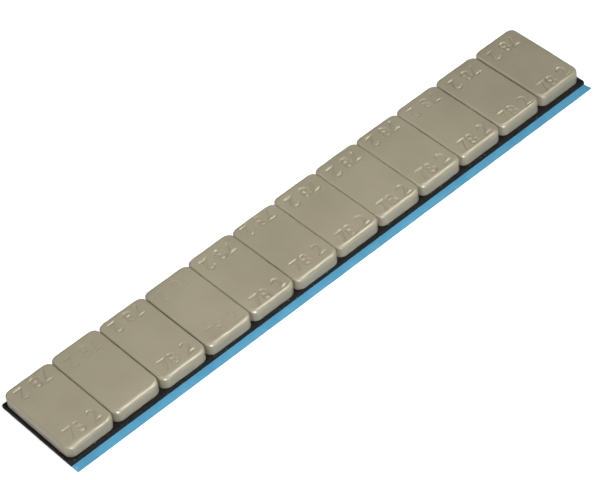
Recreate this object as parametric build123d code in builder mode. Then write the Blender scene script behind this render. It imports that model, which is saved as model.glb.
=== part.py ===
from build123d import *
import os

# Adhesive wheel balance weight: a row of coated steel weights on foam tape.
#
# Every weight is a block blanked from flat steel and powder coated. The row is stuck on one
# strip of black foam tape, and a blue release liner covers the tape's lower, sticky face.
#
# X runs along the strip, Y across it and Z up. The origin is the middle of the row, on the
# tape's centre line, at the underside of the liner, which the strip lies on.

# Coated steel weights, in millimetres
weight_count = 12
weight_length = 11.32  # along the strip
weight_width = 19.95  # across the strip
weight_height = 3.05
weight_gap = 0.08  # clear space between neighbours
weight_corner_radius = 1.8  # corners seen from above
weight_top_round = 0.9  # edge rolled over by the blanking punch

# Hand-laid places of the weights: how far each one sits off its even place
row_offset = 0.1  # the whole row, towards the far edge of the tape
shifts_across = (0.10, 0.25, -0.15, -0.25, -0.05, -0.30, 0.0, 0.05, 0.0, 0.05, 0.15, 0.20)
shifts_along = (-0.05, -0.04, 0.0, 0.08, 0.06, 0.04, 0.0, -0.04, -0.08, -0.06, 0.06, 0.30)

# Foam tape
tape_width = 20.6
tape_thickness = 1.0
tape_start_margin = 0.5  # tape past the first weight
tape_end_margin = 0.85  # tape past the last weight

# Release liner
liner_thickness = 0.1
liner_pull_margin = 1.95  # liner left free beside the tape, to pull it off by
liner_corner_flare = 0.3  # the last corner of the free margin, left longer by the shears

# Places that follow from those sizes
weight_pitch = weight_length + weight_gap
row_half_length = (weight_count * weight_pitch - weight_gap) / 2
tape_start = -row_half_length - tape_start_margin
tape_end = row_half_length + tape_end_margin
tape_far_edge = tape_width / 2
tape_near_edge = -tape_width / 2
liner_near_edge = tape_near_edge - liner_pull_margin
tape_seat = liner_thickness
weight_seat = tape_seat + tape_thickness

os.makedirs("parts", exist_ok=True)

# Release liner, cut off with the tape and left wider than it on the near side
with BuildPart() as release_liner:
    with BuildSketch(Plane.XY):
        with BuildLine():
            Polyline(
                (tape_start, tape_far_edge),
                (tape_end, tape_far_edge),
                (tape_end, tape_near_edge),
                (tape_end + liner_corner_flare, liner_near_edge),
                (tape_start, liner_near_edge),
                close=True,
            )
        make_face()
    extrude(amount=liner_thickness)
release_liner.part.label = "release_liner"
export_step(release_liner.part, "parts/release_liner.step")

# Foam tape, one strip under the whole row
with BuildPart() as foam_tape:
    with BuildSketch(Plane.XY.offset(tape_seat)):
        with BuildLine():
            Polyline(
                (tape_start, tape_far_edge),
                (tape_end, tape_far_edge),
                (tape_end, tape_near_edge),
                (tape_start, tape_near_edge),
                close=True,
            )
        make_face()
    extrude(amount=tape_thickness)
foam_tape.part.label = "foam_tape"
export_step(foam_tape.part, "parts/foam_tape.step")

# Steel weights, all blanked by one tool and laid side by side
for index in range(weight_count):
    even_place = (index - (weight_count - 1) / 2) * weight_pitch
    place_along = even_place + shifts_along[index % len(shifts_along)]
    place_across = row_offset + shifts_across[index % len(shifts_across)]
    seat = Plane(origin=(place_along, place_across, weight_seat))

    with BuildPart() as weight:
        with BuildSketch(seat):
            RectangleRounded(weight_length, weight_width, weight_corner_radius)
        extrude(amount=weight_height)
        top_face = weight.faces().sort_by(Axis.Z)[-1]
        fillet(top_face.edges(), weight_top_round)
    weight.part.label = f"weight_{index + 1:02d}"
    export_step(weight.part, f"parts/{weight.part.label}.step")
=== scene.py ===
# An adhesive strip of coated steel wheel balance weights, lying on its release liner.
# Lengths are in metres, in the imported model's frame: X along the strip, Y across it, Z up.
import math

import bmesh
import bpy
from mathutils import Matrix, Vector, noise
from mathutils.bvhtree import BVHTree


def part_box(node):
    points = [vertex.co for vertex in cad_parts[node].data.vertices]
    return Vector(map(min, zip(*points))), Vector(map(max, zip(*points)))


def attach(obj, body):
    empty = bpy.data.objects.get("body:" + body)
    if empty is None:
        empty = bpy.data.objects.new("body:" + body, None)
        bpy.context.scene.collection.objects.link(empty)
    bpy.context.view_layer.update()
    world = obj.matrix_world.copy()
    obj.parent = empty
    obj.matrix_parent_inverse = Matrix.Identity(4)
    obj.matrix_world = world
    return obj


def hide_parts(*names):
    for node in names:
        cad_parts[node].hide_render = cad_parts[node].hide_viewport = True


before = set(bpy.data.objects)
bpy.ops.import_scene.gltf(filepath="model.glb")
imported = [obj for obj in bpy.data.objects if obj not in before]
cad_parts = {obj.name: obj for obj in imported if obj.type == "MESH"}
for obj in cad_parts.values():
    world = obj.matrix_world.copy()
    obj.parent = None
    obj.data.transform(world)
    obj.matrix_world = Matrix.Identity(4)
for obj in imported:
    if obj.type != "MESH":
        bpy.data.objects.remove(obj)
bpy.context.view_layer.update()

mm = 0.001
weight_nodes = [f"weight_{number:02d}" for number in range(1, 13)]
first_low, first_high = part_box(weight_nodes[0])
weight_length = first_high.x - first_low.x
weight_width = first_high.y - first_low.y
weight_height = first_high.z - first_low.z

# Shape of one weight
corner_radius = 1.75 * mm
corner_steps = 10
end_round = 1.0 * mm
side_round = 0.45 * mm
top_round_steps = 9
foot_round = 0.15 * mm
foot_round_steps = 4

# Slow waves of its powder coat, stronger by its edges than inside them
coating_wave = 0.026 * mm
coating_wave_length = 2.6 * mm
small_wave_share = 0.45
wave_at_edge = 1.25
edge_waves_start = 0.3 * mm
edge_waves_end = 2 * mm

# Grid of its mesh: fine where its numbers are pressed in, and open elsewhere
fine_grid = 0.09 * mm
open_grid = 0.25 * mm
wall_row = 0.28 * mm
wall_rows = 6
numbered_across = (-5 * mm, 5 * mm)
numbered_near = (-9.4 * mm, -4.4 * mm)
numbered_far = (4.4 * mm, 8.8 * mm)

# Numbers pressed into both ends of a weight: the digit, its left edge from the weight's left
# side, its width and its height
digits = (
    ("7", 2.2 * mm, 1.7 * mm, 2.7 * mm),
    ("8", 4.35 * mm, 1.55 * mm, 2.7 * mm),
    ("2", 7.75 * mm, 1.75 * mm, 3.0 * mm),
)
digit_thinning = -0.03
digit_room_below = 0.6 * mm
digit_room_above = 3.6 * mm
digit_depth = 0.26 * mm
digit_edge = 1.25
near_baseline = -8.35 * mm
far_baseline = 8.5 * mm

# Every weight: how far its numbers sit off their usual place, in millimetres, and how deep the
# near and the far ones are, as shares of the full depth
number_shift = (0.0, -0.9, 0.0, -0.4, -0.8, 0.35, -0.65, -0.75, -0.1, -0.4, -0.85, -0.8)
near_depth = (0.75, 0.1, 0.8, 0.4, 1.0, 0.8, 1.0, 1.0, 1.0, 0.9, 0.6, 0.9)
far_depth = (0.8, 0.4, 0.8, 0.3, 1.0, 0.7, 1.0, 1.0, 0.9, 0.5, 0.8, 0.8)

# Small lumps and pits in the coating: the weight's number, the place from its middle, the radius
# and the height, in millimetres
coating_flaws = (
    (1, 5.3, 0.4, 0.5, 0.08),
    (2, 2.0, 1.9, 0.45, 0.05),
    (3, -0.4, -2.4, 0.4, 0.07),
    (5, 5.5, -2.3, 0.35, -0.12),
    (8, -1.5, 4.0, 0.5, 0.05),
    (9, -4.6, -8.9, 0.5, 0.12),
    (10, 5.5, -3.3, 0.35, -0.12),
)

# Cut foam tape: cells torn open along its sides
torn_band = 0.5 * mm
foam_cell = 0.22 * mm
knife_sway_length = 3.5 * mm
crowding = 2.2

# Release film: ends just inside the tape's, and a free edge that the shears cut a little unevenly
film_end_inset = 0.1 * mm
shears_sway = 0.08 * mm
shears_sway_length = 6 * mm
film_sharp_corner = math.radians(40)


def smooth_step(low, high, value):
    share = min(max((value - low) / (high - low), 0.0), 1.0)
    return share * share * (3 - 2 * share)


def places_between(low, high, fine_zones):
    """Cut places from low to high, close together inside the fine zones"""
    places = []
    place = low
    while place < high:
        places.append(place)
        inside = any(start <= place < end for start, end in fine_zones)
        place += fine_grid if inside else open_grid
    return places[1:]


def slice_mesh(mesh, direction, places):
    """Cuts the mesh by planes square to a direction"""
    for place in places:
        everything = mesh.verts[:] + mesh.edges[:] + mesh.faces[:]
        bmesh.ops.bisect_plane(
            mesh, geom=everything, dist=1e-7, plane_co=direction * place, plane_no=direction
        )


def round_edges(mesh, edges, radius, segments):
    bmesh.ops.bevel(
        mesh,
        geom=edges,
        offset=radius,
        offset_type="OFFSET",
        segments=segments,
        profile=0.5,
        affect="EDGES",
        clamp_overlap=True,
        material=-1,
    )


def edges_at_height(mesh, height):
    return [e for e in mesh.edges if all(abs(v.co.z - height) < 1e-7 for v in e.verts)]


def inset_from_outline(x, y):
    """How far a place lies inside a weight's outline, and how much that side faces along X"""
    past_x = abs(x) - (weight_length / 2 - corner_radius)
    past_y = abs(y) - (weight_width / 2 - corner_radius)
    if past_x > 0 and past_y > 0:
        reach = math.hypot(past_x, past_y)
        return corner_radius - reach, (past_x / reach) ** 2
    return corner_radius - max(past_x, past_y), 1.0 if past_x > past_y else 0.0


def tighten_sides(block):
    """The long sides, cut last, are rolled over less than the ends: draws their round together"""
    straight_x = weight_length / 2 - corner_radius
    straight_y = weight_width / 2 - corner_radius
    for vert in block.verts:
        inset, facing = inset_from_outline(vert.co.x, vert.co.y)
        drop = weight_height - vert.co.z
        if inset > end_round + 1e-7 or drop > end_round + 1e-7 or facing == 0:
            continue
        share = 1 - facing * (1 - side_round / end_round)
        outward = Vector((vert.co.x, vert.co.y, 0))
        middle_x = max(min(outward.x, straight_x), -straight_x)
        middle_y = max(min(outward.y, straight_y), -straight_y)
        outward -= Vector((middle_x, middle_y, 0))
        vert.co += outward.normalized() * inset * (1 - share)
        vert.co.z = weight_height - drop * share


def blanked_block():
    """One weight about its own middle, foot at zero, with a grid fine enough for its numbers"""
    block = bmesh.new()
    bmesh.ops.create_cube(block, size=1)
    bmesh.ops.scale(block, vec=(weight_length, weight_width, weight_height), verts=block.verts)
    bmesh.ops.translate(block, vec=(0, 0, weight_height / 2), verts=block.verts)
    upright = []
    for edge in block.edges:
        if abs(edge.verts[0].co.z - edge.verts[1].co.z) > weight_height / 2:
            upright.append(edge)
    round_edges(block, upright, corner_radius, corner_steps)
    round_edges(block, edges_at_height(block, weight_height), end_round, top_round_steps)
    round_edges(block, edges_at_height(block, 0), foot_round, foot_round_steps)
    foot = [f for f in block.faces if f.normal.z < -0.99]
    bmesh.ops.delete(block, geom=foot, context="FACES")
    along = places_between(-weight_length / 2, weight_length / 2, [numbered_across])
    across = places_between(-weight_width / 2, weight_width / 2, [numbered_near, numbered_far])
    upward = [foot_round + row * wall_row for row in range(1, wall_rows + 1)]
    slice_mesh(block, Vector((1, 0, 0)), along)
    slice_mesh(block, Vector((0, 1, 0)), across)
    slice_mesh(block, Vector((0, 0, 1)), upward)
    tighten_sides(block)
    rim = [e for e in block.edges if e.is_boundary]
    bmesh.ops.contextual_create(block, geom=rim)
    bmesh.ops.recalc_face_normals(block, faces=block.faces)
    return block


def number_face():
    """The digits as flat faces, read from the near side, with the baseline on Y zero"""
    flat = bmesh.new()
    for digit, left, width, height in digits:
        text = bpy.data.curves.new("digit", "FONT")
        text.body = digit
        text.offset = digit_thinning
        holder = bpy.data.objects.new("digit", text)
        outline = bpy.data.meshes.new_from_object(holder)
        bpy.data.objects.remove(holder)
        low_x = min(v.co.x for v in outline.vertices)
        high_x = max(v.co.x for v in outline.vertices)
        low_y = min(v.co.y for v in outline.vertices)
        high_y = max(v.co.y for v in outline.vertices)
        fit = Matrix.Diagonal((width / (high_x - low_x), height / (high_y - low_y), 1, 1))
        outline.transform(fit @ Matrix.Translation((-low_x, -low_y, 0)))
        outline.transform(Matrix.Translation((left - weight_length / 2, 0, 0)))
        flat.from_mesh(outline)
        bpy.data.meshes.remove(outline)
    return BVHTree.FromBMesh(flat)


def pressed_depth(numbers, x, y, depth):
    """How far the coating sinks at a place: full under a digit and soft past its edge"""
    if not -digit_room_below < y < digit_room_above:
        return 0.0
    distance = numbers.find_nearest(Vector((x, y, 0)))[3]
    return depth * (1 - smooth_step(0.0, digit_edge * depth, distance))


def shape_weight(block, numbers, index):
    """Presses the numbers and waves the coating of one weight"""
    shift = number_shift[index] * mm
    flaws = [flaw[1:] for flaw in coating_flaws if flaw[0] == index + 1]
    seed = Vector((17.3 * index, 5.1 * index, 0))
    block.normal_update()
    moves = []
    for vert in block.verts:
        place = vert.co
        if place.z < 1e-6:
            continue
        wave = noise.noise(place / coating_wave_length + seed)
        wave += 0.5 * noise.noise(place / (small_wave_share * coating_wave_length) + seed)
        wave -= 0.5 * max(vert.normal.z, 0.0)
        inset = inset_from_outline(place.x, place.y)[0]
        inside = smooth_step(edge_waves_start, edge_waves_end, inset)
        out = coating_wave * wave * (wave_at_edge - (wave_at_edge - 1) * inside)
        for flaw_x, flaw_y, radius, height in flaws:
            reach = math.hypot(place.x - flaw_x * mm, place.y - flaw_y * mm) / (radius * mm)
            out += height * mm * (1 - smooth_step(0.0, 1.0, reach))
        if place.z > weight_height - 0.02 * mm:
            near = digit_depth * near_depth[index]
            far = digit_depth * far_depth[index]
            out -= pressed_depth(numbers, place.x, place.y - near_baseline - shift, near)
            out -= pressed_depth(numbers, -place.x, far_baseline + shift - place.y, far)
        moves.append((vert, vert.normal * out))
    for vert, move in moves:
        vert.co += move
        vert.co.x = min(max(vert.co.x, -weight_length / 2), weight_length / 2)
        vert.co.y = min(max(vert.co.y, -weight_width / 2), weight_width / 2)
        vert.co.z = min(vert.co.z, weight_height)


def finished_piece(name, mesh, material, node):
    """Puts a finished mesh into the scene in place of a node"""
    data = bpy.data.meshes.new(name)
    mesh.to_mesh(data)
    mesh.free()
    data.materials.append(material)
    for face in data.polygons:
        face.use_smooth = True
    piece = bpy.data.objects.new(name, data)
    bpy.context.scene.collection.objects.link(piece)
    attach(piece, "root")
    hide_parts(node)
    return piece


def fine_slab(low, high, cuts_along, cuts_across, cuts_up):
    """A box from low to high, cut into a grid"""
    slab = bmesh.new()
    bmesh.ops.create_cube(slab, size=1)
    bmesh.ops.scale(slab, vec=high - low, verts=slab.verts)
    bmesh.ops.translate(slab, vec=(low + high) / 2, verts=slab.verts)
    for axis, cuts in ((0, cuts_along), (1, cuts_across), (2, cuts_up)):
        edges = []
        for edge in slab.edges:
            run = edge.verts[1].co - edge.verts[0].co
            if abs(run[axis]) > 0.9 * run.length:
                edges.append(edge)
        bmesh.ops.subdivide_edges(slab, edges=edges, cuts=cuts, use_grid_fill=True)
    return slab


def crowd_to_edges(slab, low, high):
    """Draws the grid's rows across the strip together near its two long edges"""
    middle = (low + high) / 2
    half = (high - low) / 2
    for vert in slab.verts:
        share = (vert.co.y - middle) / half
        bent = math.copysign(1 - (1 - abs(share)) ** crowding, share)
        vert.co.y = middle + half * bent


def foam_strip(low, high):
    """Cut strip of foam: torn cells on its sides and a soft upper edge"""
    strip = fine_slab(low, high, cuts_along=620, cuts_across=22, cuts_up=5)
    crowd_to_edges(strip, low.y, high.y)
    for vert in strip.verts:
        place = vert.co.copy()
        inset = min(place.x - low.x, high.x - place.x, place.y - low.y, high.y - place.y)
        if inset > torn_band:
            continue
        cells = 0.5 + 0.5 * noise.noise(place / foam_cell)
        sway = 0.5 + 0.5 * noise.noise(Vector((place.x, place.y, 0)) / knife_sway_length)
        height = (place.z - low.z) / (high.z - low.z)
        if inset < 1e-7:
            cut = (0.05 * cells + 0.03 * sway + 0.04 * height ** 6) * mm
            if min(place.x - low.x, high.x - place.x) < 1e-7:
                vert.co.x += math.copysign(cut, (low.x + high.x) / 2 - place.x)
            if min(place.y - low.y, high.y - place.y) < 1e-7:
                vert.co.y += math.copysign(cut, (low.y + high.y) / 2 - place.y)
        if height > 0.99:
            vert.co.z -= (0.05 * cells + 0.03) * mm * (1 - inset / torn_band)
    bmesh.ops.recalc_face_normals(strip, faces=strip.faces)
    return strip


def release_film(low, high, tape_low, tape_high):
    """Release film: square under the tape, with the free margin's last corner cut longer"""
    film = fine_slab(low, high, cuts_along=300, cuts_across=24, cuts_up=1)
    flare = high.x - tape_high.x
    for vert in film.verts:
        along = (vert.co.x - low.x) / (high.x - low.x)
        free = max((tape_low.y - vert.co.y) / (tape_low.y - low.y), 0.0)
        vert.co.x -= flare * along * (1 - free)
        vert.co.x += film_end_inset * (1 - 2 * along)
        if vert.co.y < low.y + 1e-7:
            sway = 0.5 + 0.5 * noise.noise(Vector((vert.co.x, 0, 0)) / shears_sway_length)
            vert.co.y += shears_sway * sway
    bmesh.ops.recalc_face_normals(film, faces=film.faces)
    for edge in film.edges:
        edge.smooth = edge.calc_face_angle(0) < film_sharp_corner
    return film


# Materials
def new_material(name):
    material = bpy.data.materials.new(name)
    material.use_nodes = True
    return material, material.node_tree.nodes, material.node_tree.links


def powder_coat():
    """Thick taupe powder coat: slow colour change, satin gloss and a faint orange peel"""
    material, nodes, links = new_material("powder_coat")
    shader = nodes["Principled BSDF"]
    place = nodes.new("ShaderNodeTexCoord")
    cloud = nodes.new("ShaderNodeTexNoise")
    cloud.inputs["Scale"].default_value = 90
    cloud.inputs["Detail"].default_value = 4
    links.new(place.outputs["Object"], cloud.inputs["Vector"])
    tone = nodes.new("ShaderNodeValToRGB")
    tone.color_ramp.elements[0].position = 0.35
    tone.color_ramp.elements[0].color = (0.284, 0.258, 0.188, 1)
    tone.color_ramp.elements[1].position = 0.65
    tone.color_ramp.elements[1].color = (0.316, 0.288, 0.212, 1)
    links.new(cloud.outputs["Fac"], tone.inputs["Fac"])
    links.new(tone.outputs["Color"], shader.inputs["Base Color"])
    shader.inputs["IOR"].default_value = 1.5
    shader.inputs["Coat Weight"].default_value = 1.0
    shader.inputs["Coat Roughness"].default_value = 0.18
    shader.inputs["Specular IOR Level"].default_value = 0.0
    gloss = nodes.new("ShaderNodeMapRange")
    gloss.inputs["To Min"].default_value = 0.55
    gloss.inputs["To Max"].default_value = 0.65
    links.new(cloud.outputs["Fac"], gloss.inputs["Value"])
    links.new(gloss.outputs["Result"], shader.inputs["Roughness"])
    peel = nodes.new("ShaderNodeTexNoise")
    peel.inputs["Scale"].default_value = 1400
    peel.inputs["Detail"].default_value = 2
    links.new(place.outputs["Object"], peel.inputs["Vector"])
    bump = nodes.new("ShaderNodeBump")
    bump.inputs["Strength"].default_value = 0.12
    bump.inputs["Distance"].default_value = 0.00002
    links.new(peel.outputs["Fac"], bump.inputs["Height"])
    links.new(bump.outputs["Normal"], shader.inputs["Normal"])
    return material


def scattered_specks(nodes, links, place, ground, scale, radius, colour):
    """Small round specks of dust over a ground colour"""
    spots = nodes.new("ShaderNodeTexVoronoi")
    spots.inputs["Scale"].default_value = scale
    links.new(place.outputs["Object"], spots.inputs["Vector"])
    near = nodes.new("ShaderNodeMath")
    near.operation = "LESS_THAN"
    near.inputs[1].default_value = radius
    links.new(spots.outputs["Distance"], near.inputs[0])
    mixed = nodes.new("ShaderNodeMix")
    mixed.data_type = "RGBA"
    mixed.inputs["B"].default_value = colour
    links.new(near.outputs["Value"], mixed.inputs["Factor"])
    links.new(ground.outputs["Color"], mixed.inputs["A"])
    return mixed


def black_foam():
    """Cut edge of fine-celled black foam, with a few pale specks"""
    material, nodes, links = new_material("black_foam")
    shader = nodes["Principled BSDF"]
    place = nodes.new("ShaderNodeTexCoord")
    cells = nodes.new("ShaderNodeTexNoise")
    cells.inputs["Scale"].default_value = 1800
    cells.inputs["Detail"].default_value = 3
    links.new(place.outputs["Object"], cells.inputs["Vector"])
    tone = nodes.new("ShaderNodeValToRGB")
    tone.color_ramp.elements[0].position = 0.3
    tone.color_ramp.elements[0].color = (0.0015, 0.0012, 0.0015, 1)
    tone.color_ramp.elements[1].position = 0.62
    tone.color_ramp.elements[1].color = (0.012, 0.010, 0.011, 1)
    links.new(cells.outputs["Fac"], tone.inputs["Fac"])
    pale_grey = (0.16, 0.15, 0.15, 1)
    specked = scattered_specks(
        nodes, links, place, tone, scale=900, radius=0.11, colour=pale_grey
    )
    links.new(specked.outputs["Result"], shader.inputs["Base Color"])
    shader.inputs["Roughness"].default_value = 0.7
    shader.inputs["Specular IOR Level"].default_value = 0.15
    bump = nodes.new("ShaderNodeBump")
    bump.inputs["Strength"].default_value = 0.5
    bump.inputs["Distance"].default_value = 0.0001
    links.new(cells.outputs["Fac"], bump.inputs["Height"])
    links.new(bump.outputs["Normal"], shader.inputs["Normal"])
    return material


def blue_film():
    """Thin satin release film"""
    material, nodes, links = new_material("blue_film")
    shader = nodes["Principled BSDF"]
    place = nodes.new("ShaderNodeTexCoord")
    cloud = nodes.new("ShaderNodeTexNoise")
    cloud.inputs["Scale"].default_value = 160
    cloud.inputs["Detail"].default_value = 5
    links.new(place.outputs["Object"], cloud.inputs["Vector"])
    tone = nodes.new("ShaderNodeValToRGB")
    tone.color_ramp.elements[0].position = 0.35
    tone.color_ramp.elements[0].color = (0.072, 0.272, 0.438, 1)
    tone.color_ramp.elements[1].position = 0.65
    tone.color_ramp.elements[1].color = (0.091, 0.32, 0.505, 1)
    links.new(cloud.outputs["Fac"], tone.inputs["Fac"])
    pale_blue = (0.4, 0.6, 0.7, 1)
    specked = scattered_specks(
        nodes, links, place, tone, scale=260, radius=0.04, colour=pale_blue
    )
    links.new(specked.outputs["Result"], shader.inputs["Base Color"])
    shader.inputs["Roughness"].default_value = 0.35
    return material


# Pieces
coat = powder_coat()
numbers = number_face()
plain_block = blanked_block()
for index, node in enumerate(weight_nodes):
    low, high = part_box(node)
    block = plain_block.copy()
    shape_weight(block, numbers, index)
    middle = Vector(((low.x + high.x) / 2, (low.y + high.y) / 2, low.z))
    bmesh.ops.translate(block, vec=middle, verts=block.verts)
    finished_piece(f"coated_weight_{index + 1:02d}", block, coat, node)
plain_block.free()

tape_low, tape_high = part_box("foam_tape")
strip = foam_strip(tape_low, tape_high)
tape = finished_piece("cut_foam_tape", strip, black_foam(), "foam_tape")
film = release_film(*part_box("release_liner"), tape_low, tape_high)
finished_piece("release_film", film, blue_film(), "release_liner")


# Floor, light and camera
def studio_floor():
    data = bpy.data.meshes.new("studio_floor")
    sheet = bmesh.new()
    bmesh.ops.create_grid(sheet, x_segments=1, y_segments=1, size=3)
    sheet.to_mesh(data)
    sheet.free()
    floor = bpy.data.objects.new("studio_floor", data)
    bpy.context.scene.collection.objects.link(floor)
    material, nodes, links = new_material("white_floor")
    nodes.remove(nodes["Principled BSDF"])
    matt = nodes.new("ShaderNodeBsdfDiffuse")
    matt.inputs["Color"].default_value = (0.8, 0.8, 0.8, 1)
    glow = nodes.new("ShaderNodeEmission")
    glow.inputs["Color"].default_value = (1, 1, 1, 1)
    path = nodes.new("ShaderNodeLightPath")
    level = nodes.new("ShaderNodeMath")
    level.operation = "MULTIPLY"
    level.inputs[1].default_value = 0.5
    links.new(path.outputs["Is Camera Ray"], level.inputs[0])
    links.new(level.outputs["Value"], glow.inputs["Strength"])
    both = nodes.new("ShaderNodeAddShader")
    links.new(matt.outputs["BSDF"], both.inputs[0])
    links.new(glow.outputs["Emission"], both.inputs[1])
    links.new(both.outputs["Shader"], nodes["Material Output"].inputs["Surface"])
    data.materials.append(material)


def studio_world(near_light, far_light):
    world = bpy.data.worlds.new("studio_world")
    bpy.context.scene.world = world
    world.use_nodes = True
    nodes, links = world.node_tree.nodes, world.node_tree.links
    way = nodes.new("ShaderNodeTexCoord")
    towards = nodes.new("ShaderNodeVectorMath")
    towards.operation = "DOT_PRODUCT"
    towards.inputs[1].default_value = (0.5, 0.866, 0)
    links.new(way.outputs["Generated"], towards.inputs[0])
    room = nodes.new("ShaderNodeValToRGB")
    room.color_ramp.elements[0].position = 0.0
    room.color_ramp.elements[0].color = near_light
    room.color_ramp.elements[1].position = 1.0
    room.color_ramp.elements[1].color = far_light
    share = nodes.new("ShaderNodeMapRange")
    share.inputs["From Min"].default_value = -1
    share.inputs["From Max"].default_value = 0.8
    links.new(towards.outputs["Value"], share.inputs["Value"])
    links.new(share.outputs["Result"], room.inputs["Fac"])
    path = nodes.new("ShaderNodeLightPath")
    backdrop = nodes.new("ShaderNodeMix")
    backdrop.data_type = "RGBA"
    backdrop.inputs["B"].default_value = (1, 1, 1, 1)
    links.new(path.outputs["Is Camera Ray"], backdrop.inputs["Factor"])
    links.new(room.outputs["Color"], backdrop.inputs["A"])
    links.new(backdrop.outputs["Result"], nodes["Background"].inputs["Color"])


def softbox(name, place, run, length, width, watts, colour):
    """A flat lamp at a place, its length lying along run and its face towards the weights"""
    light = bpy.data.lights.new(name, "AREA")
    light.shape = "RECTANGLE"
    light.size = length
    light.size_y = width
    light.energy = watts
    light.color = colour
    lamp = bpy.data.objects.new(name, light)
    bpy.context.scene.collection.objects.link(lamp)
    back = Vector(place).normalized()
    side = (Vector(run) - Vector(run).project(back)).normalized()
    turned = Matrix((side, back.cross(side), back)).transposed().to_4x4()
    lamp.matrix_world = Matrix.Translation(place) @ turned
    return lamp


studio_floor()
studio_world(near_light=(0.34, 0.35, 0.385, 1), far_light=(0.02, 0.018, 0.016, 1))
edge_line = softbox(
    "strip_softbox",
    place=(0.284, -0.368, 0.501),
    run=(0.268, 0.289, 0.115),
    length=0.49,
    width=0.09,
    watts=2.8,
    colour=(1.0, 0.98, 0.83),
)
softbox(
    "low_window",
    place=(-0.2, -0.76, 0.1),
    run=(1, 0, 0),
    length=0.28,
    width=0.22,
    watts=0.42,
    colour=(0.6, 0.8, 1.0),
)
glint = softbox(
    "corner_glint",
    place=(-0.3, -0.72, 0.06),
    run=(1, 0, 0),
    length=0.36,
    width=0.25,
    watts=15,
    colour=(1.0, 1.0, 0.97),
)
for shine in (edge_line, glint):
    shine.visible_diffuse = False
left_fill = softbox(
    "left_fill",
    place=(-0.46, -0.14, 0.31),
    run=(0, 1, 0),
    length=0.35,
    width=0.35,
    watts=0.8,
    colour=(1.0, 0.97, 0.92),
)
top_fill = softbox(
    "top_fill",
    place=(-0.02, -0.1, 0.22),
    run=(1, 0, 0),
    length=0.14,
    width=0.12,
    watts=0.62,
    colour=(1.0, 0.98, 0.94),
)
for fill in (left_fill, top_fill):
    fill.visible_glossy = False
    fill.visible_camera = False

camera_data = bpy.data.cameras.new("camera")
camera_data.sensor_width = 36
camera_data.lens = 154.74
camera_data.clip_start = 0.01
camera = bpy.data.objects.new("camera", camera_data)
bpy.context.scene.collection.objects.link(camera)
turn = Matrix.Rotation(math.radians(-37.77), 4, "Z")
tilt = Matrix.Rotation(math.radians(90 - 46.32), 4, "X")
roll = Matrix.Rotation(math.radians(-6.99), 4, "Z")
camera.matrix_world = Matrix.Translation((-0.21647, -0.27735, 0.36848)) @ turn @ tilt @ roll
bpy.context.scene.camera = camera

bpy.context.scene.view_settings.view_transform = "Standard"
